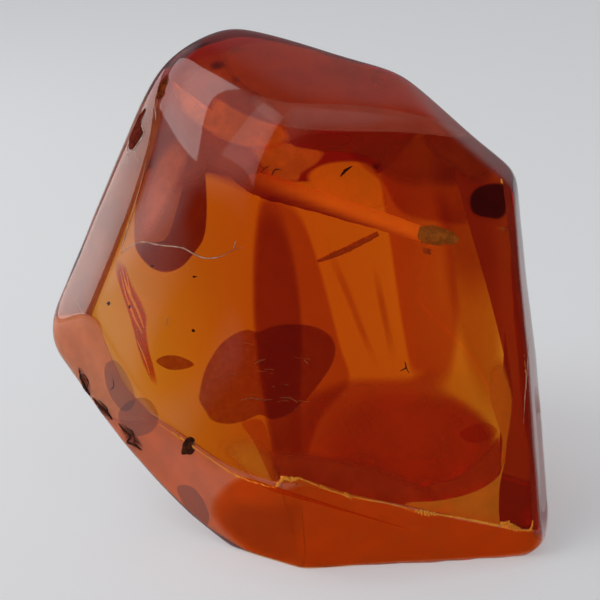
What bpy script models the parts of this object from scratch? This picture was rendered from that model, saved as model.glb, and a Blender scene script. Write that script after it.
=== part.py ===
"""A tumbled and hand-ground piece of clear amber, standing on its flat ground foot.

Run with blender --background --python part.py, or from Blender's text editor.
Metres, +Z up, the front looks along -Y. The stone is one solid: a block ground
flat on two dozen sides, with its edges taken off.
"""
import math

import bmesh
import bpy
from mathutils import Vector

MM = 0.001

# ---- driving dimensions ----------------------------------------------------
ROUGH_BLOCK = 60 * MM          # the lump that the stone is ground from
MIDDLE_ABOVE_FOOT = 17.5 * MM  # the grinding middle, measured up from the foot
SAME_CORNER = 0.2 * MM         # corners closer than this are worn into one
EDGE_ROUND = 0.45 * MM         # how far the polish eats into each edge
EDGE_STEPS = 3                 # flats across one rounded edge

# Each side: the way it faces as a turn from the front (degrees, + to the right)
# and a lean up from level (degrees), then its distance from the middle (mm).
GROUND_SIDES = (
    ("front right", 16, 25, 9.8),
    ("front left", -20, 21, 11.2),
    ("right apron", 6, -7, 16.9),
    ("left apron", -29, -12, 16.3),
    ("crown", 25, 63, 16.7),
    ("brow", -13, 38, 13.0),
    ("left rim", -58, 26, 16.5),
    ("right rim", 69, 12, 18.1),
    ("right shoulder", 77, 50, 19.2),
    ("left cheek", -43, 1, 16.2),
    ("top", 153, 52, 19.9),
    ("top left", -130, 44, 21.9),
    ("left slope", -113, 17, 18.1),
    ("left tip", -102, -10, 20.4),
    ("left hip", -88, -44, 17.6),
    ("heel", -85, -58, 18.35),
    ("right side", 103, 2, 19.0),
    ("right slope", 129, 39, 19.6),
    ("back middle", -178, -22, 13.2),
    ("back left", -150, -28, 11.4),
    ("back right", 146, -15, 14.7),
    ("back low", 174, -34, 14.8),
    ("back top", -170, 23, 15.6),
)

AMBER_COLOUR = (0.46, 0.12, 0.012, 1.0)
AMBER_IOR = 1.54
AMBER_ROUGHNESS = 0.06


def empty_the_scene():
    for thing in list(bpy.data.objects):
        bpy.data.objects.remove(thing, do_unlink=True)


def facing(turn, lean):
    """The outward direction of a side, from its turn and lean in degrees."""
    turn = math.radians(turn)
    lean = math.radians(lean)
    return Vector((
        math.sin(turn) * math.cos(lean),
        -math.cos(turn) * math.cos(lean),
        math.sin(lean),
    ))


def grind(solid, outward, distance):
    """Cut the solid flat at a distance from the middle and close the cut."""
    everything = solid.verts[:] + solid.edges[:] + solid.faces[:]
    cut = bmesh.ops.bisect_plane(
        solid,
        geom=everything,
        plane_co=outward * distance,
        plane_no=outward,
        clear_outer=True,
    )
    rim = [item for item in cut["geom_cut"] if isinstance(item, bmesh.types.BMEdge)]
    bmesh.ops.contextual_create(solid, geom=rim)


def stand_on_origin(solid):
    """Put the foot on z = 0 and the middle of the outline over the origin."""
    low = Vector([min(v.co[axis] for v in solid.verts) for axis in range(3)])
    high = Vector([max(v.co[axis] for v in solid.verts) for axis in range(3)])
    middle = (low + high) / 2
    bmesh.ops.translate(solid, verts=solid.verts, vec=(-middle.x, -middle.y, -low.z))


def amber_material():
    material = bpy.data.materials.new("clear amber")
    material.use_nodes = True
    shader = material.node_tree.nodes["Principled BSDF"]
    shader.inputs["Base Color"].default_value = AMBER_COLOUR
    shader.inputs["Metallic"].default_value = 0.0
    shader.inputs["Roughness"].default_value = AMBER_ROUGHNESS
    shader.inputs["IOR"].default_value = AMBER_IOR
    shader.inputs["Transmission Weight"].default_value = 1.0
    return material


def amber_stone(collection):
    solid = bmesh.new()
    bmesh.ops.create_cube(solid, size=ROUGH_BLOCK)
    grind(solid, Vector((0, 0, -1)), MIDDLE_ABOVE_FOOT)
    for _, turn, lean, distance in GROUND_SIDES:
        grind(solid, facing(turn, lean), distance * MM)
    bmesh.ops.remove_doubles(solid, verts=solid.verts, dist=SAME_CORNER)
    bmesh.ops.recalc_face_normals(solid, faces=solid.faces)
    stand_on_origin(solid)

    mesh = bpy.data.meshes.new("amber_stone")
    solid.to_mesh(mesh)
    solid.free()
    mesh.materials.append(amber_material())
    stone = bpy.data.objects.new("amber_stone", mesh)
    collection.objects.link(stone)

    polish = stone.modifiers.new("polished edges", "BEVEL")
    polish.width = EDGE_ROUND
    polish.segments = EDGE_STEPS
    polish.limit_method = "NONE"
    polish.use_clamp_overlap = True
    return stone


def main():
    empty_the_scene()
    collection = bpy.data.collections.new("amber stone")
    bpy.context.scene.collection.children.link(collection)
    amber_stone(collection)


main()
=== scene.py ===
"""The looks of a ground and polished lump of clear amber and of what is sealed in it.

Metres, +Z up; the viewer looks along +Y and 20 degrees down. Lengths in the code are
millimetres from the middle that the stone was ground about, and turn into metres where a
mesh is made. The view plane stands upright to the viewer through that middle: a place on
it is how far right and how far up something shows.
"""
import math

import bmesh
import bpy
import numpy as np
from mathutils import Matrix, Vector


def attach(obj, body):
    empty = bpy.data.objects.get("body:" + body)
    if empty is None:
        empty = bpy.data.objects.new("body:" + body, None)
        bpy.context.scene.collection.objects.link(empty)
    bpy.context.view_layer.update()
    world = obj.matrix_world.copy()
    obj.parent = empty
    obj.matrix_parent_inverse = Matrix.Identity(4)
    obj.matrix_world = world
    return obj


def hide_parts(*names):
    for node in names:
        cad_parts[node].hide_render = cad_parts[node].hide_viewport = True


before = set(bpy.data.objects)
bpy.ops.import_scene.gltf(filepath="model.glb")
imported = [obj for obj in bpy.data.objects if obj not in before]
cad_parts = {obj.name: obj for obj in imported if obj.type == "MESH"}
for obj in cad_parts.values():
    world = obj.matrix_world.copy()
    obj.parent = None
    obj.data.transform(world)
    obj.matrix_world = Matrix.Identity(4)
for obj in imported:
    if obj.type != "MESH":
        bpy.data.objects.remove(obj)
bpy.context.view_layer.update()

# ---- the view ----
MM = 0.001
MIDDLE = np.array([-0.10, -0.06, 17.5])  # the middle of the grinding, above the foot
LOOK_DOWN = math.radians(20)
LENS = 85.0
SENSOR = 36.0
VIEW_WIDE = 51.5  # what the view spans at the stone's middle
EYE_DISTANCE = VIEW_WIDE * LENS / SENSOR
RIGHT = np.array([1.0, 0.0, 0.0])
UP = np.array([0.0, math.sin(LOOK_DOWN), math.cos(LOOK_DOWN)])
TOWARDS = np.array([0.0, -math.cos(LOOK_DOWN), math.sin(LOOK_DOWN)])
AXES = np.array([RIGHT, UP, TOWARDS])
EYE = TOWARDS * EYE_DISTANCE

# ---- amber ----
AMBER_IOR = 1.54
# What it absorbs: 16, 105 and 320 a metre in red, green and blue.
TAKEN_PER_METRE = 330.0
AMBER_LEFT = (0.9515, 0.682, 0.030, 1.0)
GRID = 129  # points along each side of the stone's six grids
CLEAR_OF_FLOOR = 0.03
SHALLOW = 0.5  # a layer nearer the skin than this is sunk straight from it
HALF_SUNK = 0.03  # what lies on the skin is sunk by this


# ---- small helpers ----
def linear(hex_colour):
    """An sRGB hex colour as linear RGBA: the gamma curve is undone channel by channel."""
    srgb = [int(hex_colour[i:i + 2], 16) / 255 for i in (1, 3, 5)]
    return [c / 12.92 if c <= 0.04045 else ((c + 0.055) / 1.055) ** 2.4 for c in srgb] + [1.0]


def unit(vectors):
    """Each vector divided by its length."""
    return vectors / np.linalg.norm(vectors, axis=-1, keepdims=True)


def add(material, kind, settings):
    """Adds a shader node. A setting is a property of it, or an input by name or number.

    An input may be given one output of another node, or that node itself, which stands
    for its first output. The two are then linked.
    """
    node = material.node_tree.nodes.new("ShaderNode" + kind)
    for key, value in settings.items():
        if isinstance(value, bpy.types.Node):
            value = value.outputs[0]
        if isinstance(key, str) and key not in node.inputs:
            setattr(node, key, value)
        elif isinstance(value, bpy.types.NodeSocket):
            material.node_tree.links.new(value, node.inputs[key])
        else:
            node.inputs[key].default_value = value
    return node


def new_material(name):
    """An empty material, and the Object coordinates that its patterns are laid out by."""
    material = bpy.data.materials.new(name)
    material.use_nodes = True
    material.node_tree.nodes.clear()
    return material, add(material, "TexCoord", {}).outputs["Object"]


def shaded(material, surface, **inside):
    """The material with its shader in place. What glows is not sampled as a lamp."""
    add(material, "OutputMaterial", {"Surface": surface, **inside})
    material.cycles.emission_sampling = "NONE"
    return material


def piece(name, points, faces, material):
    """A mesh object from points in millimetres about the stone's middle."""
    mesh = bpy.data.meshes.new(name)
    mesh.from_pydata(((points + MIDDLE) * MM).tolist(), [], faces.tolist())
    mesh.shade_smooth()
    mesh.materials.append(material)
    made = bpy.data.objects.new(name, mesh)
    bpy.context.scene.collection.objects.link(made)
    return made


def weld(made, apart):
    """Closes seams where grids meet, and turns all faces outwards."""
    solid_mesh = bmesh.new()
    solid_mesh.from_mesh(made.data)
    bmesh.ops.remove_doubles(solid_mesh, verts=solid_mesh.verts, dist=apart * MM)
    bmesh.ops.recalc_face_normals(solid_mesh, faces=solid_mesh.faces)
    solid_mesh.to_mesh(made.data)
    solid_mesh.free()


def ring_quads(rings, count):
    """Quads between neighbouring rings of count points each, closed round every ring."""
    ring = np.arange(rings - 1)[:, None] * count
    here = ring + np.arange(count)
    on = ring + (np.arange(count) + 1) % count
    return np.stack([here, on, on + count, here + count], -1).reshape(-1, 4)


# ---- the polished skin ----
SAME_WAY = 0.998      # the least cosine between parts of one flat side
SAME_DISTANCE = 0.25
LEAST_AREA = 4.0
LEAST_BREADTH = 0.12  # a side's area by the square of its length


def read(items, name, width, kind=float):
    """What a mesh says of all its items, as an array of rows."""
    values = np.empty(len(items) * width, kind)
    items.foreach_get(name, values)
    return values.reshape(-1, width)


def flat_sides(mesh):
    """The stone's ground sides, read from the CAD solid.

    Each triangle has an outward direction and a distance from the middle, and those that
    share both belong to one side. The long thin strips along rounded edges are left out:
    their area is small beside the square of their length.
    """
    outward = read(mesh.polygons, "normal", 3)
    area = read(mesh.polygons, "area", 1)[:, 0] / MM**2
    corners = read(mesh.vertices, "co", 3)[read(mesh.polygons, "vertices", 3, int)] / MM - MIDDLE
    distance = np.einsum("ij,ij->i", outward, corners[:, 0])
    free = np.ones(len(area), bool)
    sides = []
    for i in np.argsort(-area):
        if free[i]:
            mine = free & (outward @ outward[i] > SAME_WAY)
            mine &= abs(distance - distance[i]) < SAME_DISTANCE
            free &= ~mine
            long = np.linalg.norm(np.ptp(corners[mine].reshape(-1, 3), axis=0))
            if area[mine].sum() > max(LEAST_AREA, LEAST_BREADTH * long**2):
                sides.append((*outward[i], distance[i]))
    sides = np.array(sides)
    return sides[:, :3], sides[:, 3]


OUTWARD, DISTANCE = flat_sides(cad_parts["amber_stone"].data)

# The narrow right side is turned about its far edge, to show more nearly edge on.
RIGHT_SIDE = np.argmax(OUTWARD @ (0.91, -0.35, 0.22))
OUTWARD[RIGHT_SIDE] = (0.9595, -0.2245, 0.1701)
DISTANCE[RIGHT_SIDE] = 19.02
# How far the foot's near right corner is knocked off.
CORNER_CUT = 0.9
meeting = [np.argmax(OUTWARD @ way) for way in
           ((0.96, -0.22, 0.17), (0.104, -0.987, -0.122), (0.0, 0.0, -1.0))]
corner_out = unit(0.60 * RIGHT - 0.70 * UP + 0.25 * TOWARDS)
foot_corner = np.linalg.solve(OUTWARD[meeting], DISTANCE[meeting])
OUTWARD = np.vstack([OUTWARD, corner_out])
DISTANCE = np.append(DISTANCE, corner_out @ foot_corner - CORNER_CUT)
# The low left side was ground slightly round: it swells this far about this place.
LOW_LEFT = np.argmax(OUTWARD @ (-0.474, -0.856, -0.208))
SWELLING = 0.65
SWOLLEN = np.array([-4.9, -12.6, -8.2])
SWELLING_SPREAD = 26.0  # square millimetres

# How sharp the edges are, per millimetre, and the zones where they are worn or crisp:
# how far right and up a zone lies, its spread both ways, and the sharpness in it.
SHARPNESS = 3.2
ZONES = (
    (-0.6, 0.7, 0.35, 0.35, 1.4),       # worn: the crown
    (0.75, 0.65, 0.08, 0.08, 3.0),      # less worn: its right shoulder
    (0.0, -0.95, math.inf, 0.12, 8.0),  # crisp: the foot
    (0.95, -0.15, 0.03, 0.3, 6.0),      # crisp: the right side
)


def crispness(points):
    """Sharpness of the edges: each zone's bell curve blends its own into what was there."""
    way = unit(points)
    right = way @ RIGHT
    up = way @ UP
    sharp = SHARPNESS
    for across, high, wide, tall, own in ZONES:
        share = np.exp(-((right - across) ** 2) / wide - (up - high) ** 2 / tall)
        sharp = sharp * (1 - share) + own * share
    return sharp


def ripple(points):
    """Unevenness of hand polishing: a sum of sine waves, three of each length and height."""
    chance = np.random.default_rng(11)
    lift = np.zeros(len(points))
    for length, height in ((17, 0.045), (11, 0.025), (7, 0.010), (4.5, 0.004)):
        for _ in range(3):
            way = chance.normal(size=3)
            way *= 2 * math.pi / length / np.linalg.norm(way)
            lift += height * np.sin(points @ way + chance.uniform(0, 6.28))
    return lift


def outside(points):
    """Distance out of the skin, and which way is out.

    It is the soft maximum of the distances past every flat side, plus the ripple; the
    way out is the sides' directions, weighted by how much each one counts there.
    """
    past = points @ OUTWARD.T - DISTANCE
    near_swelling = -((points - SWOLLEN) ** 2).sum(axis=1) / SWELLING_SPREAD
    past[:, LOW_LEFT] -= SWELLING * np.exp(near_swelling)
    most = past.max(axis=1)
    sharp = crispness(points)
    share = np.exp(sharp[:, None] * (past - most[:, None]))
    whole = share.sum(axis=1)
    out = share @ OUTWARD / whole[:, None]
    return most + np.log(whole) / sharp + ripple(points), out


def leave_middle(way, start=0.97, steps=9):
    """Where rays from the middle leave the skin, by Newton steps from near the flat sides."""
    reach = way @ OUTWARD.T / DISTANCE
    along = start / reach.max(axis=1)
    for _ in range(steps):
        left, out = outside(along[:, None] * way)
        along -= left / np.einsum("ij,ij->i", out, way)
    return along[:, None] * way


def sight(places):
    """Unit rays from the eye to places of the view plane."""
    return unit(places @ AXES[:2] - EYE)


def on_skin(places, sunk=0.0, in_front=36.0, steps=70, stride=9.0):
    """Where sight rays meet the skin, found by stepping each on by the distance left.

    Gives the points, sunk under the skin if wanted, and the way out at each.
    """
    rays = sight(places)
    along = np.full(len(rays), EYE_DISTANCE - in_front)
    nearest = along.copy()
    least = np.full(len(rays), math.inf)
    for _ in range(steps):
        left = outside(EYE + along[:, None] * rays)[0]
        nearest = np.where(left < least, along, nearest)
        least = np.minimum(left, least)
        along = along + np.clip(left, 0.0, stride)
    points = EYE + nearest[:, None] * rays
    for _ in range(3):  # a ray that passes by lands on the nearest skin
        left, out = outside(points)
        out = unit(out)
        points = points - left[:, None] * out
    return points - sunk * out, out


def sealed(places, deep):
    """Points under the skin that show at places of the view plane.

    Each sight ray bends where it enters, by the law of refraction, and runs on straight
    for its depth.
    """
    rays = sight(places)
    points, out = on_skin(places)
    facing = -np.einsum("ij,ij->i", rays, out)
    bend = 1 / AMBER_IOR
    straight = np.sqrt(1 - bend**2 * (1 - facing**2))
    inward = bend * rays + (bend * facing - straight)[:, None] * out
    return points + np.reshape(deep, (-1, 1)) * inward


def amber_skin():
    """Six square grids, one for each side of a cube, pushed out to the skin.

    A grid point's direction is the tangent of even angles on its cube side, and its
    distance is where a ray from the middle leaves the soft maximum of the flat sides.
    """
    even = np.tan(np.linspace(-1, 1, GRID) * math.pi / 4)
    a, b = [g.ravel() for g in np.meshgrid(even, even, indexing="ij")]
    corner = np.arange(GRID * GRID).reshape(GRID, GRID)
    quads = np.stack([corner[:-1, :-1], corner[1:, :-1], corner[1:, 1:], corner[:-1, 1:]], -1)
    quads = quads.reshape(-1, 4)
    points, faces = [], []
    for axis in range(3):
        for sign in (-1, 1):
            way = np.empty((len(a), 3))
            way[:, axis] = sign
            way[:, (axis + 1) % 3] = a
            way[:, (axis + 2) % 3] = b
            faces.append((quads if sign > 0 else quads[:, ::-1]) + len(points) * GRID * GRID)
            points.append(leave_middle(unit(way)))
    points = np.concatenate(points)
    points[:, 2] = np.maximum(points[:, 2], CLEAR_OF_FLOOR - MIDDLE[2])
    return points, np.concatenate(faces)


# ---- shapes of what is sealed in ----
def curve_between(p, t):
    """Catmull-Rom: a cubic from the second of four corners to the third, as t goes to 1."""
    return 0.5 * (2 * p[1] + (p[2] - p[0]) * t + (2 * p[0] - 5 * p[1] + 4 * p[2] - p[3]) * t**2
                  + (3 * p[1] - p[0] - 3 * p[2] + p[3]) * t**3)


def loop_through(corners, count):
    """A closed smooth outline through corners, evenly spaced by index."""
    corners = np.array(corners, float)
    at = np.linspace(0, len(corners), count, endpoint=False)
    first = at.astype(int)
    return curve_between([corners[(first + k) % len(corners)] for k in (-1, 0, 1, 2)],
                         (at - first)[:, None])


def line_through(corners, count):
    """An open smooth line through corners; its end corners count twice."""
    corners = np.array(corners, float)
    ends = np.concatenate([corners[:1], corners, corners[-1:]])
    at = np.linspace(0, len(corners) - 1, count)
    first = np.minimum(at.astype(int), len(corners) - 2)
    return curve_between([ends[first + k] for k in range(4)], (at - first)[:, None])


def joined(name, parts, material, apart=0.001):
    """One piece from several closed bodies, each given as points and quads."""
    start = np.cumsum([0] + [len(p) for p, _ in parts])
    faces = np.concatenate([f + at for (_, f), at in zip(parts, start)])
    made = piece(name, np.concatenate([p for p, _ in parts]), faces, material)
    weld(made, apart)
    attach(made, "root")


def seam(name, material, deep, middle, outline, rings=14, count=120, thick=0.06):
    """A thin closed layer under an outline of the view plane, following the skin at a depth.

    A ring is the outline shrunk towards the middle; the layer is thickest in the middle
    and closes to nothing at the outline. A deep one is sunk along the bent sight rays. The
    point attribute rim runs from 0 in the middle to 1 at the outline.
    """
    outline = loop_through(outline, count)
    share = np.linspace(0.0, 1.0, rings)
    places = (np.array(middle) + share[:, None, None] * (outline - middle)).reshape(-1, 2)
    slim = np.repeat(thick * (1 - share**4), count)
    if deep < SHALLOW:
        front, out = on_skin(places, deep)
        back = front - slim[:, None] * out
    else:
        front = sealed(places, deep)
        back = sealed(places, deep + slim)
    quads = ring_quads(rings, count)
    made = piece(name, np.concatenate([front, back]),
                 np.concatenate([quads, quads[:, ::-1] + rings * count]), material)
    rim = made.data.attributes.new("rim", "FLOAT", "POINT")
    rim.data.foreach_set("value", np.tile(np.repeat(share, count), 2))
    weld(made, apart=0.003)
    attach(made, "root")


def lay(rows):
    """A seam for each row: its name, its layer's name, and the rest of what seam takes."""
    for name, kind, *shape in rows:
        seam(name, layers[kind], *shape)


def carried(path, radius, sides=14, lumps=0.0, seed=1):
    """A round profile carried along a path, as points and quads.

    Its radius is given at even steps along the path, in hundredths of a millimetre, and
    lumps is the share that smooth waves add to it.
    """
    count = len(path)
    radius = np.interp(np.linspace(0, 1, count), np.linspace(0, 1, len(radius)), radius) / 100
    along = unit(np.gradient(path, axis=0))
    side = unit(np.cross(along, TOWARDS))
    near = np.cross(side, along)
    round_ = np.linspace(0, 2 * math.pi, sides, endpoint=False)
    chance = np.random.default_rng(seed)
    turn = np.linspace(0, 6.3, count)[:, None]
    wave = np.ones((count, sides))
    for waves in (3, 7, 15):
        wave += lumps / 3 * np.sin(waves * turn + chance.integers(1, 4) * round_ + chance.uniform(0, 6))
    r = radius[:, None] * wave
    points = path[:, None] + (r * np.cos(round_))[..., None] * side[:, None] \
        + (r * np.sin(round_))[..., None] * near[:, None]
    ends = np.stack([path[:1].repeat(sides, 0), path[-1:].repeat(sides, 0)])
    points = np.concatenate([ends[:1], points, ends[1:]])
    return points.reshape(-1, 3), ring_quads(count + 2, sides)


def threads(name, lines, material, count=30, deep=None, sides=8, lumps=0.0):
    """Thin threads, each a line of the view plane with its radii, on or under the skin."""
    parts = []
    for number, (corners, radius) in enumerate(lines):
        line = line_through(corners, count)
        path = on_skin(line, HALF_SUNK)[0] if deep is None else sealed(line, deep)
        parts.append(carried(path, radius, sides, lumps, number))
    joined(name, parts, material)


def grain(name, place, deep, half, material, seed, rough=0.5, rings=15, count=24):
    """A lump: a sphere of latitude and longitude, stretched and made uneven by waves."""
    chance = np.random.default_rng(seed)
    high = np.linspace(-math.pi / 2, math.pi / 2, rings)[:, None]
    round_ = np.linspace(0, 2 * math.pi, count, endpoint=False)
    way = np.stack(np.broadcast_arrays(
        np.cos(high) * np.cos(round_), np.cos(high) * np.sin(round_), np.sin(high)), -1)
    size = np.ones(way.shape[:2])
    for _ in range(6):
        size += rough / 3 * np.sin(way @ chance.normal(0, 2.6, 3) + chance.uniform(0, 6))
    local = way * size[..., None] * np.array(half)
    points = local @ AXES + sealed(np.array([place]), deep)
    quads = ring_quads(rings, count)[:, [0, 3, 2, 1]]
    joined(name, [(points.reshape(-1, 3), quads)], material, apart=0.002)


# ---- materials ----
SMOOTH = {"interpolation_type": "SMOOTHSTEP"}


def clear_amber():
    """Fossil resin, ground and buffed: glass-clear, and orange by what it absorbs.

    The buffing left it a little less glossy in wide, faint patches.
    """
    material, where = new_material("polished_amber")
    patches = add(material, "TexNoise", {"Vector": where, "Scale": 1 / (2.5 * MM), "Detail": 5.0})
    gloss = add(material, "MapRange", {
        "Value": patches, "From Min": 0.35, "From Max": 0.7, "To Min": 0.012, "To Max": 0.035,
    })
    shader = add(material, "BsdfPrincipled", {
        "Base Color": linear("#ffffff"), "Roughness": gloss, "IOR": AMBER_IOR, "Transmission Weight": 1.0,
    })
    inside = add(material, "VolumeAbsorption", {"Color": AMBER_LEFT, "Density": TAKEN_PER_METRE})
    return shaded(material, shader, Volume=inside)


def layer(name, tint, body, cloud, soft, mottle, depth, glow=0.0):
    """A thin layer in the resin, clear or cloudy, that fades towards its outline.

    tint is what one face lets through, body is what the cloudy share sends back, cloud
    is that share, soft is how much of the width the fading takes, and mottle is the size
    of its uneven patches in millimetres, as strong as depth. glow is painted light: the
    cloudy share glows, standing in for the light that runs round inside the resin.
    """
    material, where = new_material(name)
    rim = add(material, "Attribute", {"attribute_name": "rim"})
    fade = add(material, "MapRange", {
        **SMOOTH, "Value": rim.outputs["Fac"], "From Min": 1.0 - soft, "From Max": 1.0,
        "To Min": 1.0, "To Max": 0.0,
    })
    uneven = add(material, "TexNoise", {
        "Vector": where, "Scale": 1 / (mottle * MM), "Detail": 4.0, "Roughness": 0.55,
    })
    patches = add(material, "MapRange", {
        **SMOOTH, "Value": uneven, "From Min": 0.3, "From Max": 0.7, "To Min": 1.0 - depth,
    })
    strength = add(material, "Math", {"operation": "MULTIPLY", 0: fade, 1: patches})
    stain = add(material, "Mix", {
        "data_type": "RGBA", 0: strength, 6: linear("#ffffff"), 7: linear(tint),
    })
    through = add(material, "BsdfTransparent", {"Color": stain.outputs[2]})
    colour = add(material, "Mix", {
        "data_type": "RGBA", 0: patches, 6: linear("#000000"), 7: linear(body),
    })
    shader = add(material, "BsdfPrincipled", {
        "Base Color": colour.outputs[2], "Roughness": 0.6, "Specular IOR Level": 0.0,
        "Emission Color": linear(body), "Emission Strength": glow,
    })
    cloudy = add(material, "Math", {"operation": "MULTIPLY", 0: strength, 1: cloud})
    mixed = add(material, "MixShader", {0: cloudy, 1: through, 2: shader})
    return shaded(material, mixed)


def streaks(material, where, slope, narrow, size):
    """Patches about size millimetres across, drawn out into lines where narrow is below one.

    The lines fall to the right by the angle slope.
    """
    drawn = add(material, "Mapping", {
        "Vector": where, "Rotation": (0, -slope, 0), "Scale": (narrow, 1, 1),
    })
    return add(material, "TexNoise", {
        "Vector": drawn, "Scale": 1 / (size * MM), "Detail": 5.0, "Roughness": 0.6,
    })


def ramp(material, where, way, first, last, low=0.0):
    """A smooth step from low to 1 along a direction, between two distances that way."""
    along = add(material, "VectorMath", {"operation": "DOT_PRODUCT", 0: where, 1: way})
    return add(material, "MapRange", {
        **SMOOTH, "Value": along.outputs["Value"], "From Min": first, "From Max": last,
        "To Min": low,
    })


def solid(name, light, dark, size, rough, slope=0.0, narrow=1.0, glow=0.0):
    """An opaque body of two colours in patches or streaks about size millimetres across."""
    material, where = new_material(name)
    uneven = streaks(material, where, slope, narrow, size)
    patches = add(material, "MapRange", {**SMOOTH, "Value": uneven, "From Min": 0.35, "From Max": 0.65})
    colour = add(material, "Mix", {"data_type": "RGBA", 0: patches, 6: linear(dark), 7: linear(light)})
    dull = add(material, "MapRange", {"Value": uneven, "To Min": rough, "To Max": min(rough + 0.3, 1)})
    # glow makes the body glow in its light colour, though it is no lamp: painted light.
    shader = add(material, "BsdfPrincipled", {
        "Base Color": colour.outputs[2], "Roughness": dull, "Specular IOR Level": 0.2,
        "Emission Color": linear(light), "Emission Strength": glow,
    })
    return shaded(material, shader)


def soaked_twig(path):
    """Rotted twig wood soaked in resin: orange and streaked along, with painted shade along
    its underside and a painted glow all over.

    It is darker too towards its start, which lies deeper in the resin. path is its middle
    line, in millimetres about the stone's middle.
    """
    material, where = new_material("resin_soaked_twig")
    along = path[-1] - path[0]
    slope = math.atan2(-along @ UP, along @ RIGHT)
    across = Vector(np.cross(TOWARDS, along)).normalized()
    middle = Vector((MIDDLE + path[len(path) // 2]) * MM).dot(across)
    # The ramp across the twig paints its upper side lighter and its underside darker: painted light and
    # shade.
    painted_top_light = ramp(material, where, across, middle - 0.75 * MM, middle + 0.55 * MM)
    way = Vector(along).normalized()
    start = Vector((MIDDLE + path[0]) * MM).dot(way)
    ripe = ramp(material, where, way, start, start + 9.0 * MM, 0.1)
    fibres = streaks(material, where, slope, 0.15, 0.5)
    both = add(material, "Math", {"operation": "MULTIPLY_ADD", 0: fibres, 1: 0.5, 2: painted_top_light})
    even = add(material, "MapRange", {"Value": both, "From Min": 0.2, "From Max": 1.35})
    share = add(material, "Math", {"operation": "MULTIPLY", 0: even, 1: ripe})
    colour = add(material, "Mix", {
        "data_type": "RGBA", 0: share, 6: linear("#901c02"), 7: linear("#ff7618"),
    })
    # The twig glows in its own colour though it is no lamp: painted light.
    shader = add(material, "BsdfPrincipled", {
        "Base Color": colour.outputs[2], "Roughness": 0.6, "Specular IOR Level": 0.1,
        "Emission Color": colour.outputs[2], "Emission Strength": 0.38,
    })
    return shaded(material, shader)
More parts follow.
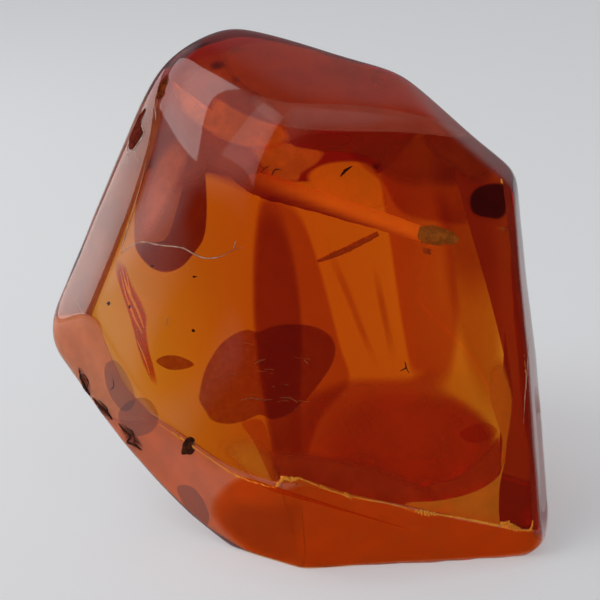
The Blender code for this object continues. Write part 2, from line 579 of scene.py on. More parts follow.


# A row is what layer takes: tint, body, cloud, soft, mottle, depth and, if any, glow,
# which is painted light.
LAYERS = {
    # Dried skins between pours of resin: clear but redder. The dark, sharp and cloudy ones
    # hold fine bubbles too, and have a little painted glow.
    "red_flow_skin": ("#e8c896", "#b03008", 0.06, 0.3, 5, 0.15),
    "thin_red_flow_skin": ("#efd2a0", "#c04410", 0.05, 0.12, 5, 0.15),
    "faint_red_flow_skin": ("#f2d8a8", "#c04410", 0.05, 0.45, 5, 0.15),
    "soft_red_flow_skin": ("#edc890", "#c04410", 0.08, 0.6, 5, 0.15),
    "orange_flow_skin": ("#f2cdb8", "#e05010", 0.05, 0.2, 6, 0.15),
    "dark_red_flow_skin": ("#e6c8a4", "#cc480e", 0.52, 0.4, 5, 0.15, 0.11),
    "sharp_red_flow_skin": ("#d8a078", "#ff5a24", 0.4, 0.05, 5, 0.1, 0.05),
    "cloudy_red_flow_skin": ("#f6deb4", "#ff6c28", 0.5, 0.3, 5, 0.2, 0.09),
    "pale_red_flow_skin": ("#fce2c8", "#c04410", 0.1, 0.12, 4, 0.15),
    "drying_line": ("#f4e0bc", "#c04410", 0.05, 0.85, 3, 0.3),
    # Bubbles too fine to see one by one, dragged out by the flow: pale orange veils that
    # have a painted glow.
    "bubble_veil": ("#ffb060", "#ff8430", 0.82, 0.2, 2, 0.2, 0.11),
    "thin_bubble_veil": ("#ffc890", "#ff8c44", 0.62, 0.5, 2.5, 0.2, 0.1),
    # Stress discs, round cracks that spread from a warmed bubble: thin, brown-red, crisp
    # at the rim and faintly speckled; pale in cloudy resin, nearly black where charred. The
    # cloudy one and the one seen on edge have a painted glow.
    "stress_disc": ("#ebcaab", "#c83810", 0.23, 0.04, 0.5, 0.2),
    "thin_stress_disc": ("#eac8a8", "#8a3018", 0.12, 0.05, 2, 0.15),
    "stress_disc_in_cloudy_resin": ("#efe9f4", "#b06050", 0.08, 0.05, 1.5, 0.2),
    "charred_stress_disc": ("#a04c3c", "#981808", 0.3, 0.18, 0.8, 0.2),
    "cloudy_stress_disc": ("#ecc8a4", "#f05c20", 0.64, 0.3, 2.5, 0.25, 0.08),
    "stress_disc_on_edge": ("#f0b080", "#ff7830", 0.62, 0.3, 0.5, 0.4, 0.1),
    # Cloudy resin, full of tiny bubbles: milky orange, yellow or red, with a painted glow.
    "cloudy_resin": ("#f0a868", "#ff8020", 0.85, 0.02, 3, 0.12, 0.08),
    "cloudy_yellow_resin": ("#ffd890", "#ffa430", 0.8, 0.1, 3, 0.12, 0.1),
    "cloudy_yellow_corner": ("#ffd890", "#ffa430", 0.85, 0.55, 3, 0.12, 0.08),
    "cloudy_red_resin": ("#f0c090", "#ec541a", 0.78, 0.28, 3, 0.15, 0.06),
    "cloudy_orange_resin": ("#ffd890", "#ff9424", 0.75, 0.3, 3, 0.12, 0.1),
    "cloudy_pale_resin": ("#ffc890", "#ffa058", 0.75, 0.1, 3, 0.15, 0.08),
    "cloudy_rosy_rim": ("#ffd0b0", "#d87850", 0.75, 0.12, 3, 0.15, 0.03),
    "cloudy_red_rim": ("#f0b090", "#e05030", 0.6, 0.1, 3, 0.15, 0.04),
    "cloudy_brown_resin": ("#f0b890", "#e0662c", 0.8, 0.4, 4, 0.2, 0.07),
    "cloudy_dark_resin": ("#d8ac88", "#e04c0c", 0.75, 0.4, 3, 0.2, 0.05),
    "cloudy_yellow_flow": ("#ffe0a0", "#ffb424", 0.8, 0.2, 3, 0.12, 0.21),
    "cloudy_resin_top": ("#f4c8a0", "#e4541c", 0.55, 0.1, 4, 0.15, 0.085),
    "cloudy_pale_band": ("#f8e0d0", "#ff9878", 0.3, 0.1, 2.5, 0.25, 0.07),
    # Soft dark smudges in the resin.
    "dark_resin_smudge": ("#d0a0a4", "#58202c", 0.3, 0.9, 0.9, 0.5),
    # Weathered amber that the buffing left: a dull film, rough in the pit, and with iron
    # or soil in it a rusty or brown stain. The film's tint also dims the floor's reflection
    # over it and turns it orange: painted shade on the reflection. It has a faint painted glow.
    "weathered_rind": ("#ffe2be", "#e06018", 0.15, 0.07, 4, 0.15, 0.02),
    "thin_weathered_rind": ("#f7f0f0", "#b06050", 0.04, 0.3, 4, 0.15),
    "rough_pit": ("#905040", "#7a2c20", 0.92, 0.1, 0.35, 0.35),
    "rust_stain": ("#c06020", "#8c4018", 0.85, 0.35, 0.5, 0.6),
    "weathered_crust_patch": ("#c09080", "#8a4834", 0.6, 0.9, 0.3, 0.9),
}
layers = {kind: layer(kind, *values) for kind, values in LAYERS.items()}


# ---- the object ----
stone = piece("polished_stone", *amber_skin(), clear_amber())
weld(stone, apart=0.01)
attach(stone, "root")
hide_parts("amber_stone")


# ---- what is sealed in ----
# Layers between resin flows.
lay((
    ("flow_band", "thin_red_flow_skin", 3, (0, -2.6), [(-3.3, 9.3), (-1.3, 9), (0.3, 7.3), (1.6, 3.6),
     (2.6, 0), (3.6, -3.9), (4.5, -6.7), (3.9, -8.2), (1.9, -10.5), (0.7, -13.6), (-0.2, -16.3),
     (-2.1, -16.5), (-2.7, -13.3), (-3.3, -9), (-3.9, -4.5), (-4.2, 0), (-4.1, 5.1)]),
    ("flow_band_core", "red_flow_skin", 4.5, (-1.5, -2.6), [(-3.3, 9.3), (-1.7, 8.6), (-0.5, 5.1), (0.2, 0),
     (0.3, -4.3), (0.2, -8.6), (0.3, -12), (0.2, -15.4), (-0.7, -16.6), (-2.1, -16.5), (-2.7, -13.3),
     (-3.4, -9), (-4, -4.5), (-4.3, 0), (-4.2, 5.1)]),
    ("flow_right_of_window", "orange_flow_skin", 5, (9.9, 1.7), [(6.5, 12.2), (7.9, 12.2), (9.6, 11.8),
     (11.7, 11), (13, 8.6), (13.6, 3.4), (13.9, -0.9), (13.7, -4.3), (12.7, -7.7), (10.6, -7.4),
     (9.6, -6.7), (9, -3.9), (8.3, 0), (7.6, 4.7)]),
    ("flow_far_right", "faint_red_flow_skin", 4.4, (15, 0), [(12, 10.1), (15.3, 10), (16.8, 6.4),
     (17.6, 0.9), (17.8, -4.3), (17.4, -9.4), (16.5, -10.7), (14.9, -8.6), (13.7, -5.1), (12.5, 0),
     (11.7, 5.1)]),
    ("flow_brow", "dark_red_flow_skin", 3.4, (8.6, 12.9), [(-1, 13.9), (2.6, 14.6), (6.2, 15.1),
     (8.6, 15.4), (11.3, 15.7), (13.9, 15.1), (15.8, 13.9), (17, 12), (16.3, 10.3), (13.9, 9.4),
     (11.2, 9.4), (8.6, 9.6), (7.2, 10.3), (6.3, 11.5), (5.1, 12.3), (3.4, 12.6), (0.4, 12.9)]),
    ("flow_right", "sharp_red_flow_skin", 2, (17.6, -2.6), [(12.5, 14.8), (16.3, 12.5), (18, 8.6),
     (18.8, 3.4), (19.4, -2.6), (19.9, -8.6), (20, -14.6), (19.9, -19.7), (17, -19.5), (17.2, -16.3),
     (17.7, -13.4), (18, -10.8), (18.3, -8.2), (17.8, -5.9), (16.5, -0.7), (15.4, 3.3), (13.7, 9.4)]),
    ("flow_top", "thin_red_flow_skin", 4, (10.3, 11.6), [(4.3, 12.9), (8.6, 13.9), (12.9, 14.4),
     (15.4, 12.9), (15.9, 8.6), (14.6, 6.4), (12, 6.4), (8.6, 7.3), (6.9, 9.9), (5, 11.6)]),
    ("flow_upper_right", "soft_red_flow_skin", 3, (14.2, 7.3), [(11.2, 14.1), (14.6, 13.7), (16.7, 12.2),
     (17.7, 9.4), (18.2, 4.3), (17.8, 0), (15.4, -1.5), (13.3, 0), (12.4, 4.3), (11.2, 6.4), (10.7, 10.3)]),
    ("flow_low", "cloudy_red_flow_skin", 4, (7.7, -9.9), [(-1.4, -8.8), (1.7, -7.2), (3.9, -6.5),
     (6.9, -6.4), (9.6, -6.3), (11.7, -5.8), (13, -7.4), (14.9, -8.9), (16.7, -10.8), (17.4, -12.9),
     (16.8, -15.3), (14.6, -16.7), (10.3, -17.3), (6.9, -17), (3.4, -16.2), (0.4, -15.3), (-1.3, -14.6),
     (-1.9, -12)]),
    ("flow_wedge", "pale_red_flow_skin", 0.7, (-3.1, -12.7), [(-5.1, -10.4), (-3.3, -10.2), (-2.7, -12),
     (-2.2, -14.2), (-1.9, -16.1), (-2.5, -15.4), (-3.3, -13.7), (-4.1, -12)]),
    ("flow_line_left", "drying_line", 5.2, (4.4, -0.4), [(2, 4.6), (2.5, 5), (3.8, 2.3), (4.9, -0.3),
     (6, -3.3), (7, -5.9), (6.5, -6.1), (5.3, -3.7), (4.1, -0.7), (3, 1.9)]),
    ("flow_line_right", "drying_line", 5.2, (7.2, -1.3), [(6, 3.3), (6.5, 3.3), (7.2, 0.9), (7.9, -2.1),
     (8.4, -5.1), (7.8, -5.3), (7.2, -2.9), (6.5, 0)]),
    ("flow_lens", "sharp_red_flow_skin", 3, (1.7, 13.6), [(-0.8, 13.6), (0, 14.1), (1.7, 14.3), (3.9, 14.2),
     (4.5, 13.7), (3.4, 13.3), (1.7, 13), (0, 13.2)]),
))

# Stress discs, or sun spangles. The last is seen on edge, and its folds are painted
# highlights: bright threads that glow.
lay((
    ("spangle_middle", "stress_disc", 4.2, (-2.7, -6.3), [(-8.7, -7.9), (-8.2, -5.9), (-7, -3.9),
     (-5.7, -2.9), (-4.5, -2.5), (-3.6, -2.7), (-2.3, -2.2), (-0.7, -2), (0.9, -2.1), (2.2, -2.6),
     (3, -3.5), (3.1, -4.5), (2.7, -5.7), (1.8, -7), (0.7, -8.4), (-0.4, -9.5), (-1.5, -10.1),
     (-2.4, -10.3), (-3.4, -9.9), (-4.1, -10.1), (-5.1, -10.5), (-6.4, -10.7), (-7.6, -10.4), (-8.2, -9.6),
     (-8.7, -8.7)]),
    ("spangle_low_right", "cloudy_stress_disc", 5, (13.3, -13.9), [(1, -12), (2.1, -9.3), (5.1, -7.7),
     (8.6, -7.4), (12.9, -7.9), (15.3, -9.1), (16.5, -10.3), (17.2, -11.8), (17.4, -13.4), (17.2, -14.8),
     (16.5, -15.6), (15.4, -16.2), (13.8, -16.8), (11.8, -17.2), (9.3, -17.4), (7.7, -17.3), (3.9, -16.3),
     (1.5, -14.4)]),
    ("spangle_upper_left", "thin_stress_disc", 5, (-11, 7.3), [(-12.9, 12), (-10.3, 13.3), (-8.3, 11.6),
     (-8, 8.6), (-8.2, 5.6), (-9, 4.1), (-10.3, 2.7), (-11.8, 2.3), (-13.2, 3), (-14.2, 4.7),
     (-14.1, 8.6)]),
    ("spangle_upper_left_edge", "thin_stress_disc", 4, (-9.8, 5.1), [(-9.4, 12), (-8.3, 11.6), (-8, 8.6),
     (-8.2, 5.6), (-9, 4.1), (-10.3, 2.7), (-11.8, 2.3), (-13.2, 3), (-14.2, 4.6), (-12.9, 4.8),
     (-11.5, 5.3), (-10.6, 7.7)]),
    ("wake_left", "thin_bubble_veil", 2, (-12, 9.9), [(-10.5, 14.3), (-9.3, 13), (-9.8, 11), (-11.2, 8.2),
     (-12.5, 5.6), (-13.6, 4.3), (-14.1, 5.1), (-14, 7.3), (-13.4, 9.9), (-12.2, 12.7)]),
    ("spangle_left_low", "stress_disc_in_cloudy_resin", 0.06, (-15.6, -7.9), [(-16.8, -5.7), (-16.1, -5.1),
     (-15.3, -5.7), (-14.4, -7.4), (-14.2, -8.9), (-15.1, -9.6), (-16.1, -8.6), (-16.7, -7.2)]),
    ("spangle_left_lower", "stress_disc_in_cloudy_resin", 0.05, (-14, -10), [(-15.6, -9.6), (-14.6, -8.6),
     (-13.2, -8.4), (-12.3, -9.4), (-12.2, -10.6), (-13, -11.5), (-14.4, -11.7), (-15.4, -10.8)]),
    ("spangle_sliver", "stress_disc", 5, (-10.8, -5.3), [(-12.4, -5.2), (-11.6, -4.7), (-10.3, -4.8),
     (-9.1, -5.5), (-10, -5.9), (-11.3, -5.9)]),
    ("spangle_cut", "stress_disc_in_cloudy_resin", 0.06, (-9.3, -17.6), [(-10.6, -16.1), (-9.6, -15.9),
     (-8.6, -16.7), (-7.8, -18.4), (-8.1, -19.6), (-8.9, -18.9), (-10, -17.6)]),
    ("spangle_right", "charred_stress_disc", 1.6, (16.2, 8.5), [(14.5, 8.6), (14.9, 9.5), (15.9, 10),
     (17, 10.1), (17.8, 9.8), (17.8, 7.7), (17.2, 6.9), (16, 7), (14.8, 7.4)]),
    ("spangle_edge_on", "stress_disc_on_edge", 2.2, (-14, -2.1), [(-15.8, 3.6), (-15.1, 3.3), (-14.5, 1.7),
     (-13.6, 0), (-13.1, -1.3), (-13.1, -2.6), (-12.9, -4.3), (-12.4, -6.2), (-12.2, -7.4), (-12.7, -7.2),
     (-13.3, -6), (-13.9, -4.3), (-14.3, -2.6), (-14.8, -0.9), (-15.4, 0.9), (-15.9, 2.6)]),
))
# Painted highlights on the folds of the disc seen on edge.
threads("spangle_wrinkles", [
    ([(-15.3, 2.9), (-14.8, 1), (-14.2, -0.3), (-13.5, -1.9)], [2, 9, 12, 3]),
    ([(-14.9, 2.4), (-14.5, 0.5), (-13.8, -1.2), (-13.4, -2.4)], [2, 7, 9, 2]),
    ([(-15.4, 2.4), (-15, 0.7), (-14.5, -1)], [2, 6, 2]),
    ([(-14.7, 0), (-14.2, -1.5), (-13.5, -2.9)], [2, 9, 2]),
    ([(-14, -3.4), (-13.4, -4.8), (-12.9, -6.3)], [2, 6, 2]),
], solid("resin_wrinkle_painted_highlight", "#ffa848", "#ff7818", size=0.3, rough=0.3, glow=0.25), deep=1.6)

# Cloudy resin close under the two low sides and the top, which were ground through it.
lay((
    ("cloud_low_left", "cloudy_resin", 0.15, (-7.7, -15.9), [(-18.5, -8.4), (-16.8, -9.3), (-14.6, -9.4),
     (-12.9, -9.8), (-11.2, -10.8), (-9.4, -12), (-7.7, -13.2), (-6, -14.3), (-4.3, -15.2), (-2.6, -15.9),
     (-0.3, -15.6), (0.3, -18.9), (0.3, -22.9), (-2.6, -22.5), (-5.5, -21.1), (-8.6, -19), (-12, -15.8),
     (-15.4, -12.4), (-17.7, -9.8)]),
    ("cloud_low_right", "cloudy_resin", 0.15, (8.6, -20.2), [(-1.7, -15.8), (0, -15.3), (4.3, -16.6),
     (9.9, -17.8), (14.6, -18.8), (18.4, -19.6), (20.6, -19.8), (21, -21), (19.7, -22.1), (14.6, -22.3),
     (8.6, -22.6), (2.6, -22.9), (0, -23.1), (-0.7, -19.7)]),
    ("flow_low_left", "faint_red_flow_skin", 0.07, (-2.9, -20.2), [(-6.7, -17), (-4.3, -17), (-1.5, -17),
     (0.2, -17.2), (0.3, -19.7), (0.2, -22.7), (-2.6, -22.4), (-5.5, -20.9), (-7.6, -18.9)], 24),
    ("cloud_crescent", "cloudy_yellow_resin", 0.9, (16.3, -17.6), [(8.9, -17.4), (10.5, -17.3),
     (11.8, -17.2), (13.8, -16.8), (15.4, -16.2), (16.4, -15.6), (17.2, -14.8), (17.7, -13.4),
     (17.2, -15.8), (17.1, -17.9), (17.1, -20.2), (15.4, -19.7), (12.9, -19.1), (10.6, -18.7),
     (8.9, -18.1)]),
    ("cloud_corner", "cloudy_yellow_corner", 1, (-2.7, -15.1), [(-7.4, -12), (-5.5, -11.3), (-3.8, -11.7),
     (-2.5, -12.7), (-2.1, -14.2), (-1.6, -15.6), (-1.5, -16.6), (-2.7, -16.3), (-4.3, -15.4),
     (-5.7, -14.2)]),
    ("cloud_above_edge", "cloudy_red_resin", 1, (3.9, -16.6), [(-3.3, -13), (-1.7, -12.8), (0.4, -12.9),
     (3.4, -13.4), (6.9, -14.2), (9.6, -15.3), (12, -16.6), (11.2, -18.4), (8.2, -18), (3.9, -17.3),
     (0.4, -16.4), (-1.4, -16.5), (-2.7, -16)]),
    ("cloud_disc_edge", "cloudy_red_resin", 1.2, (15.6, -15.5), [(9.8, -16.3), (12.7, -15.4), (14.6, -14.2),
     (16, -12.9), (17.1, -11.5), (17.5, -12.4), (17.6, -13.6), (17.3, -14.9), (16.6, -16), (15.4, -16.6),
     (13.9, -17.2), (11.2, -17.7)]),
    ("cloud_right_strip", "cloudy_orange_resin", 1.1, (17.5, -10.3), [(16.3, -5.7), (17.2, -4.6),
     (17.8, -6.2), (18.3, -8.2), (18.1, -10.6), (17.8, -12.5), (17.6, -14.2), (17.2, -15.1), (17.4, -13.4),
     (17.3, -12), (16.9, -10.6), (16.2, -8.2)]),
    ("cloud_left", "cloudy_pale_resin", 0.15, (-18.2, -5.6), [(-21.3, -1.4), (-19.9, -1), (-18.5, -1),
     (-17.3, -1.7), (-16.8, -3.3), (-16, -5.3), (-14.8, -7.6), (-12.5, -10.3), (-14.2, -10.8),
     (-16.1, -10.3), (-18, -8.9), (-20.1, -7.2), (-21.3, -4.5), (-21.4, -2.9)]),
    ("cloud_left_rim", "cloudy_rosy_rim", 0.25, (-17.3, 4.3), [(-12.2, 18.5), (-11.7, 16.8), (-12.6, 12.9),
     (-13.9, 9.4), (-15, 6.4), (-15.9, 3.9), (-16.9, 1.3), (-17.8, -1), (-18.5, -3.1), (-20.1, -3.4),
     (-21.8, -2.7), (-21.1, -0.3), (-19.2, 3.4), (-17.6, 8.3), (-16.2, 11.8), (-14.9, 15.1),
     (-13.6, 17.5)]),
    ("cloud_right", "cloudy_red_rim", 0.15, (19.5, -6), [(17.2, 12), (18.1, 9.4), (18.7, 4.3), (19.2, 0),
     (19.6, -5.1), (20, -10.3), (20.1, -15.4), (20, -20.1), (20.6, -20.7), (21.3, -19.6), (21.1, -14.6),
     (20.8, -10.3), (20.3, -6), (19.8, -0.9), (19.1, 3.9), (18.3, 8.6), (17.7, 11.3)]),
    ("cloud_upper_left", "cloudy_brown_resin", 3, (-7.3, 14.6), [(-13.2, 16.1), (-12, 18.4), (-10.6, 20.2),
     (-8.8, 21.4), (-6.4, 21.8), (-3.3, 20.6), (0, 18.2), (2.2, 16.1), (2.6, 14.1), (0, 13), (-2.1, 11.5),
     (-2.6, 8.9), (-4.3, 8.8), (-6.2, 9.6), (-8.1, 10.3), (-8.6, 9.4), (-11.2, 8.6), (-13.6, 8.9),
     (-13.9, 12.9)]),
    ("cloud_brow_right", "cloudy_dark_resin", 1.4, (13.3, 13.2), [(10.1, 15.6), (12, 15.8), (13.9, 15.3),
     (15.8, 13.9), (17, 12), (16.6, 10.1), (15.3, 9.8), (13.9, 10.6), (12, 12), (10.3, 13.6)]),
    ("cloud_window_top", "cloudy_yellow_flow", 6.5, (4.1, 10.3), [(0.5, 10.5), (1.5, 11.5), (3.6, 12),
     (5.8, 11.9), (6.9, 10.6), (7.4, 7.9), (4.3, 8.1), (1.5, 8.9)]),
    ("cloud_top", "cloudy_resin_top", 0.3, (4.3, 17.8), [(-7.2, 21.1), (-5.5, 22.1), (-3.3, 22.5), (0, 22),
     (3, 21.1), (6, 20.2), (8.6, 19.2), (11.2, 17.8), (13.2, 16.5), (15.3, 14.1), (11.2, 14.2), (8.2, 14.4),
     (2.6, 14.5), (-0.9, 14.8), (-3.3, 17.3), (-5.5, 18.7)]),
    ("flow_streak", "pale_red_flow_skin", 0.8, (15.4, -11.4), [(13.6, -11.5), (14.8, -10.7), (16.1, -10.5),
     (17, -11.2), (16.3, -12), (14.6, -12.3)]),
    ("cloud_top_low", "cloudy_pale_band", 0.15, (3.4, 15.6), [(-4.3, 17.7), (-3.1, 17.5), (-1.5, 17.1),
     (0, 17), (3.4, 16.9), (6.9, 16.6), (10.3, 16), (12.9, 15.2), (14.9, 13.9), (11.2, 14.2), (8.2, 14.4),
     (2.6, 14.5), (-0.9, 14.8), (-2.7, 15.4), (-4.1, 16.5)], 24),
))
ring = np.linspace(0, 2 * math.pi, 9)[:-1]
smudge = np.stack([1.6 * np.cos(ring), 0.8 * np.sin(ring + 0.4)], -1)
for number, (middle, size) in enumerate((
    ((-6.9, 20.2), 0.75), ((-4.9, 19.1), 0.7), ((-3.5, 18.7), 1), ((-2.6, 17.8), 0.7),
    ((-1.6, 17.1), 0.5), ((-5.5, 21.4), 0.6), ((0, 17.2), 0.5),
)):
    seam(f"smudge_{number + 1}", layers["dark_resin_smudge"], 0.7, middle,
         np.array(middle) + size * smudge, 6, 40)

# A twig that the resin ran over, with its bubbly wake. Its broken end is bare wood, dull
# and yellow-brown; the splinter beside it is redder and streaked along. Both glow a
# little: painted light.
twig_path = sealed(line_through([
    (-6.3, 11.7), (-4.8, 10.8), (-3.3, 10.1), (-1.3, 9.3), (2.6, 8.1), (6.9, 6.8), (10.6, 5.6),
], 70), np.linspace(4.6, 2.6, 70))
joined("twig", [carried(twig_path, [30, 80, 110, 110, 95, 85, 75, 66], sides=20, lumps=0.06)],
       soaked_twig(twig_path))
cap_path = sealed(line_through([(10, 5.7), (11, 5.6), (12.4, 5.4), (13.6, 5.1)], 24), 2.4)
joined("twig_end", [carried(cap_path, [45, 75, 80, 60, 25], lumps=0.25, seed=4)],
       solid("broken_twig_end", "#dc8c38", "#a0541c", size=0.7, rough=0.6, glow=0.1))
needle_path = sealed(line_through([(1.5, 3.3), (3.9, 4.3), (6.7, 5.7)], 30),
                     np.linspace(4.4, 3.6, 30))
joined("splinter", [carried(needle_path, [10, 24, 26, 20], lumps=0.2, seed=5)],
       solid("plant_splinter", "#e06420", "#b84812", size=0.3, rough=0.6,
             slope=math.radians(-25), narrow=0.3, glow=0.12))
lay((
    ("wake_upper", "bubble_veil", 2, (-5.6, 14.8), [(-11.3, 19), (-9.9, 17.8), (-8.2, 16.1), (-7.6, 17.2),
     (-7, 17.4), (-5.1, 16.3), (-2.8, 15.4), (-1.3, 15), (-0.6, 14.1), (-0.9, 13.5), (-3.3, 12.9),
     (-6, 13.4), (-8.2, 14.6), (-10.3, 16.3)]),
    ("wake_claw", "bubble_veil", 2.2, (-1, 12.2), [(-4.3, 14.8), (-2.6, 13.9), (-1, 13.6), (0, 13.2),
     (2.1, 12.8), (2.1, 12.2), (1.4, 11.5), (0.3, 10.8), (-0.1, 10.1), (-1.4, 10.1), (-2.6, 10.8),
     (-3.6, 11.7), (-4.3, 12.9)]),
))

# Charred bark, nearly black and dull: place, half size and depth of each speck.
bark = solid("charred_bark", "#5c280e", "#280c06", size=0.3, rough=0.9)
for number, (place, half, deep) in enumerate((
    ((-9.6, -12.5), (0.5, 0.6, 0.16), -0.06), ((-9.2, -2.6), (0.12, 0.12, 0.1), 1),
    ((-16.4, -0.3), (0.13, 0.13, 0.1), 1), ((-12.7, 2.9), (0.15, 0.1, 0.1), 1.2),
    ((-9.1, 2), (0.16, 0.08, 0.08), 1.2), ((-14.6, -0.6), (0.1, 0.14, 0.08), 1),
)):
    grain(f"speck_{number + 1}", place, deep, half, bark, number + 20)
threads("bark_threads", [
    ([(3.5, 10.6), (3.9, 11.1), (4.5, 11.5)], [4, 13, 3]),
    ([(12.4, 12.3), (13.1, 12.8), (14, 13.2)], [3, 8, 3]),
    ([(12.7, 13.1), (13.3, 12.8), (13.7, 12.7)], [2, 5, 2]),
    ([(9, -5.3), (9.1, -5.8), (8.6, -6.1)], [3, 6, 2]), ([(9.1, -5.8), (9.4, -6.3)], [5, 2]),
    ([(10.6, 4.4), (11.2, 3.9)], [4, 4]), ([(-3.3, 11), (-2.9, 11.4), (-2.6, 11.5)], [2, 4, 2]),
    ([(-2.4, 10.7), (-2.1, 11.2), (-1.6, 11.2)], [2, 5, 2]),
], bark, deep=2, lumps=0.4)
# Small cracks that face the light, drawn as bright orange flecks: painted glints.
chip_painted_glint = solid("stress_chip_painted_glint", "#ff9a40", "#f06018", size=0.4, rough=0.3)
grain("chip_1", (10.8, 4.2), 1.2, (0.38, 0.22, 0.1), chip_painted_glint, 40)
grain("chip_2", (17.4, 6.1), 1.2, (0.3, 0.24, 0.1), chip_painted_glint, 41)

# ---- wear on the skin ----
# A thin film of weathered amber left on the low right side and along the right edge. On
# the low side its tint also dims and colours the floor's reflection: painted shade.
lay((
    ("rind_low", "weathered_rind", -0.06, (9.4, -19.7), [(-5.3, -15.1), (-3.3, -16), (-2.1, -16.4),
     (0, -15.8), (4.3, -16.8), (9.9, -18), (14.6, -19), (18.4, -19.7), (20.3, -19.9), (20.8, -20.7),
     (19.7, -21.7), (14.6, -22.2), (8.6, -22.5), (2.6, -23), (0, -23.2), (-3.3, -22.5), (-6, -20.7),
     (-7.9, -18.4), (-7.4, -16.5)], 70, 240, 0.04),
    ("rind_right", "thin_weathered_rind", -0.05, (20.7, -14.6), [(20.1, -7.3), (20.3, -10.3), (20.6, -14.6),
     (20.7, -19.6), (21.3, -19.7), (21.4, -15.4), (21.2, -11.2), (20.6, -7.3)]),
))
# The lower edge was chipped and crushed: pale yellow crumbs in a broken line, with a
# little painted glow.
threads("chipped_edge", [
    ([(-12.2, -10.6), (-10.3, -11.8), (-8.6, -13), (-5.6, -15), (-3.3, -15.8), (-2.1, -16.1)],
     [3, 8, 6, 10, 8]),
    ([(-2.1, -16.1), (-1.7, -15.6), (-1.4, -15.3), (-0.7, -15.4), (0, -15.3)], [6, 14, 18, 16, 10]),
    ([(0, -15.3), (1.7, -16), (4.3, -16.9), (7.7, -17.5), (9.9, -18.2)], [7, 5, 9, 4, 8]),
    ([(9.9, -18.1), (10.8, -18.3), (11.7, -18.4)], [12, 20, 10]),
    ([(11.7, -18.4), (13.7, -18.7), (17.2, -19.4), (18.2, -19.6)], [7, 8, 10, 14]),
    ([(17.2, -19.2), (17.8, -19.3), (18.4, -19.6), (18.9, -19.7)], [12, 24, 20, 12]),
    ([(18.4, -19.6), (19.2, -19.8), (19.8, -19.7), (20, -18.9)], [12, 8, 10, 4]),
    ([(1.7, -16), (2.2, -16.2)], [12, 8]), ([(3.8, -16.6), (4.5, -17.1)], [14, 8]),
    ([(-10.6, -11.5), (-10.3, -12)], [12, 6]),
], solid("crushed_amber_edge", "#ffa838", "#ec7c18", size=0.25, rough=0.5, glow=0.1),
        count=60, lumps=0.9)
# Cracks dried out at the skin: pale hairlines. The last two lines, along the right side,
# are painted highlights drawn the same way.
crack_and_highlight = solid("dry_crack_and_painted_highlight", "#e0b8a4", "#b88470", size=0.5, rough=0.6)
threads("surface_cracks_and_highlights", [
    ([(-15.4, 4), (-14.6, 4.6), (-13.6, 5), (-12, 4.7), (-10.2, 4.5), (-9.2, 4), (-8.2, 3.6), (-6.9, 3.7),
     (-5.7, 4.3), (-4.9, 4.5)], [3, 6, 6.5, 6, 6.5, 5, 3, 1.5]),
    ([(-13, 13), (-13.7, 9.9), (-14.6, 6.9), (-15.3, 4.6)], [2, 4.5, 5, 6]),
    ([(-11.8, 18.5), (-12.2, 17.2), (-12.7, 15.4), (-13, 13)], [2, 3, 3, 2]),
    ([(-19.1, 0.2), (-19, -0.5), (-18.7, -1.1)], [2, 6, 2]), ([(-11.5, -2.2), (-11.3, -1.5)], [2, 4]),
    # The last two lines here are painted highlights along the right side.
    ([(-5.7, 4.5), (-5.5, 5.1)], [5, 3]), ([(19.8, -2.2), (19.6, -4.3), (19.4, -7.3)], [2, 5, 2]),
    ([(19.7, -3.6), (19.5, -6.2), (19.3, -8.6), (19.2, -10.6)], [2, 5, 4, 2]),
], crack_and_highlight, count=50, lumps=0.3)
threads("pit_rim", [
    ([(-13.1, 16.7), (-13.4, 16), (-13.6, 15.1), (-13.4, 14.4), (-13.8, 13.6), (-14.3, 12.9),
     (-14.8, 12.4)], [3, 6, 8, 5, 8, 4]),
    ([(-14.8, 12.4), (-14.8, 13.1), (-14.7, 14.1), (-14.2, 15.1), (-13.7, 16.1)], [5, 6, 4, 4, 2]),
    ([(-12.5, 16.6), (-12.4, 16), (-12.4, 15.4)], [3, 6, 3]),
    ([(-14.3, 12.9), (-14, 12.2), (-13.9, 11.8)], [4, 5, 2]), ([(-14.8, 12.4), (-14.9, 11.7)], [4, 2]),
], crack_and_highlight, count=40, lumps=0.5)
lay((
    ("pit", "rough_pit", -0.04, (-14, 14.4), [(-13.2, 16.5), (-13.5, 15.6), (-13.6, 14.8), (-13.5, 14.3),
     (-13.9, 13.6), (-14.4, 12.9), (-14.7, 13.1), (-14.6, 13.9), (-14.2, 14.9), (-13.7, 16)], 8, 60),
    ("rust_stain", "rust_stain", -0.03, (-11.8, 18.2), [(-11.4, 19.4), (-11.2, 18.9), (-11.5, 18.2),
     (-11.6, 17.6), (-12, 17.1), (-12.4, 17.2), (-12.3, 17.8), (-12, 18.7)], 8, 60),
    ("crust_patch_1", "weathered_crust_patch", -0.03, (-18.5, -7), [(-19, -5.7), (-18.6, -6), (-18.1, -7),
     (-17.8, -8.1), (-18.2, -8.2), (-18.8, -7.4)], 8, 60),
    ("crust_patch_2", "weathered_crust_patch", -0.03, (-17, -9.3), [(-17.8, -8.3), (-17.2, -8.6),
     (-16.5, -9.3), (-16, -10.3), (-16.5, -10.4), (-17.3, -9.6)], 8, 60),
    ("crust_patch_3", "weathered_crust_patch", -0.03, (-14.5, -11.7), [(-15.6, -10.5), (-14.9, -10.7),
     (-14.1, -11.5), (-13.3, -12.7), (-13.7, -13.1), (-14.6, -12.5), (-15.3, -11.5)], 8, 60),
))
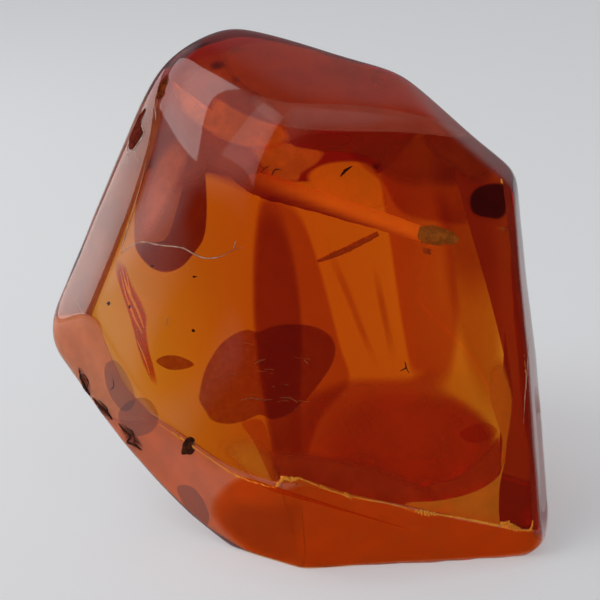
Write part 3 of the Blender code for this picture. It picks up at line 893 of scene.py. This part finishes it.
# The stone's old crust, left in hollows: dull dark brown.
threads("crust", [
    ([(-19, -5.8), (-18.8, -6.7), (-18.4, -7.6), (-18, -8.2)], [3, 12, 16, 6]),
    ([(-18.6, -6.3), (-18.2, -7), (-18.4, -7.9)], [3, 7, 3]),
    ([(-17.8, -8.4), (-17.2, -9.1), (-16.6, -9.6), (-16.1, -10.3)], [6, 16, 14, 5]),
    ([(-17.3, -8.6), (-16.6, -9.3), (-16.5, -10)], [3, 8, 3]),
    ([(-15.6, -10.6), (-15.1, -11.2), (-14.6, -11.7), (-14.8, -12.2), (-14.1, -12.5), (-13.6, -12.9)],
     [4, 10, 8, 12, 6]),
    ([(-14.9, -11), (-14.4, -11.3), (-14.2, -12), (-13.7, -12.4)], [3, 7, 6, 3]),
    ([(-16.1, -6.7), (-16, -7.4), (-16.3, -7.7)], [2, 5, 2]),
], solid("weathered_crust", "#5a2c18", "#281008", size=0.4, rough=0.85),
        count=40, lumps=0.8)

# Fine scratches over the middle disc, drawn pale where they catch the light: painted
# glints.
chance = np.random.default_rng(5)
scratches = []
for _ in range(15):
    start = np.array((-2.7, -6.4)) + chance.normal(0, 1, 2) * (2.6, 1.9)
    slope = chance.uniform(-0.6, 0.9)
    reach = chance.uniform(0.25, 1.1)
    bow = chance.uniform(-0.1, 0.1)
    step = np.array([math.cos(slope), math.sin(slope)]) * reach
    scratches.append(([start, start + 0.5 * step + bow, start + step], [1.2, 2.2, 1]))
scratches += [(corners, [3, 5, 3]) for corners in (
    [(-3.9, -5.5), (-3.4, -5.2), (-3, -5.1)], [(-5.1, -8.6), (-4.1, -8.4), (-3.3, -8.6), (-2.4, -8.5)],
    [(-1.7, -8.4), (-0.9, -8.4), (-0.2, -8.8)], [(-1.5, -7.2), (-1, -7.3)],
    [(-4.5, -4.2), (-4.5, -4.3)], [(0.3, -5.1), (0.7, -5.5)],
)]
threads("scratches", scratches, solid("fine_scratch_painted_glint", "#e0a070", "#a05830", size=1, rough=0.4),
        count=10, deep=0.4, sides=5)

# ---- studio ----
def light_table():
    """Opal acrylic sheet over a lit box: satin, near white, and giving most of its own light."""
    material, where = new_material("opal_acrylic_light_table")
    uneven = add(material, "TexNoise", {"Vector": where, "Scale": 1 / (40 * MM), "Detail": 3.0})
    satin = add(material, "MapRange", {"Value": uneven, "To Min": 0.62, "To Max": 0.78})
    shader = add(material, "BsdfPrincipled", {
        "Base Color": linear("#cacbcc"), "Roughness": satin, "Specular IOR Level": 0.1,
        "Emission Color": linear("#fdfdff"), "Emission Strength": 0.325,
    })
    return shaded(material, shader)


def table_top(innermost=20.0, outermost=6000.0, rings=24, count=96):
    """A level disc of rings, wide enough to meet the horizon: radius grows evenly by ratio."""
    out = np.append(0.0, np.geomspace(innermost, outermost, rings))[:, None]
    round_ = np.linspace(0, 2 * math.pi, count, endpoint=False)
    points = np.stack(np.broadcast_arrays(out * np.cos(round_), out * np.sin(round_), 0.0), -1)
    return points.reshape(-1, 3) - MIDDLE, ring_quads(rings + 1, count)[:, [0, 3, 2, 1]]


floor = piece("studio_floor", *table_top(), light_table())
weld(floor, apart=0.01)


def softbox(name, towards, far, across, above, wide, high, brightness):
    """A flat soft lamp facing the stone, square to the way towards it, far millimetres off.

    Its place and size in its own plane are shares of that distance.
    """
    lamp = bpy.data.lights.new(name, "AREA")
    lamp.shape = "RECTANGLE"
    lamp.size = wide * far * MM
    lamp.size_y = high * far * MM
    lamp.energy = brightness * math.pi * lamp.size * lamp.size_y
    made = bpy.data.objects.new(name, lamp)
    way = Vector(towards).normalized()
    rightwards = Vector((0, 0, 1)).cross(way).normalized()
    place = way + across * rightwards + above * way.cross(rightwards)
    made.location = (Vector(MIDDLE) + place * far) * MM
    made.rotation_euler = (-way).to_track_quat("-Z", "Y").to_euler()
    made.visible_camera = False
    bpy.context.scene.collection.objects.link(made)


WINDOW = (-0.500, -0.420, 0.757)
softbox("window_pane_left", WINDOW, 300, -0.365, 0.11, 0.75, 0.5, 2.3)
softbox("window_pane_right", WINDOW, 300, 0.255, 0.15, 0.33, 0.42, 0.6)
softbox("side_panel", (-0.890, 0.396, 0.225), 250, 0, 0, 0.62, 0.5, 2)

AIR_COLOUR = (0.93, 0.96, 1.0, 1.0)
AIR_DIM = 0.04
# Soft-edged bright panels: the way to each, its brightness, and the angles from that way,
# in degrees, within which it is full and beyond which it is gone.
PANELS = (
    ((0.1, 0.45, 0.89), 0.1, 35, 60),
    ((-0.387, -0.454, 0.803), 0.65, 9, 20),
    ((-0.771, -0.342, 0.538), 1.2, 6, 19),
    ((-0.85, -0.45, 0.3), 0.9, 8, 20),
    ((0.3, -0.45, 0.84), 0.45, 8, 21),
    ((-0.6, 0.35, 0.72), 0.8, 8, 28),
    ((0, 1, 0.05), 0.24, 45, 85),
)


def studio_air():
    """Dim air with the bright panels added one by one, each a smooth step of a cosine."""
    world = bpy.data.worlds.new("studio_air")
    world.use_nodes = True
    world.node_tree.nodes.clear()
    way = add(world, "TexCoord", {}).outputs["Generated"]
    light = AIR_DIM
    for towards, brightness, full, gone in PANELS:
        near = add(world, "VectorMath", {
            "operation": "DOT_PRODUCT", 0: way, 1: Vector(towards).normalized(),
        })
        panel = add(world, "MapRange", {
            **SMOOTH, "Value": near.outputs["Value"],
            "From Min": math.cos(math.radians(gone)), "From Max": math.cos(math.radians(full)),
            "To Min": 0.0, "To Max": brightness,
        })
        light = add(world, "Math", {"operation": "ADD", 0: light, 1: panel})
    back = add(world, "Background", {"Color": AIR_COLOUR, "Strength": light})
    add(world, "OutputWorld", {"Surface": back})
    bpy.context.scene.world = world


studio_air()

# ---- camera ----
camera_data = bpy.data.cameras.new("camera")
camera_data.lens = LENS
camera_data.sensor_width = SENSOR
camera_data.clip_start = 0.005
camera = bpy.data.objects.new("camera", camera_data)
camera.location = (MIDDLE + EYE) * MM
camera.rotation_euler = (math.pi / 2 - LOOK_DOWN, 0, 0)
bpy.context.scene.collection.objects.link(camera)
bpy.context.scene.camera = camera

scene = bpy.context.scene
scene.view_settings.view_transform = "Standard"
scene.cycles.max_bounces = 24
scene.cycles.glossy_bounces = 16
scene.cycles.transmission_bounces = 24
scene.cycles.transparent_max_bounces = 48
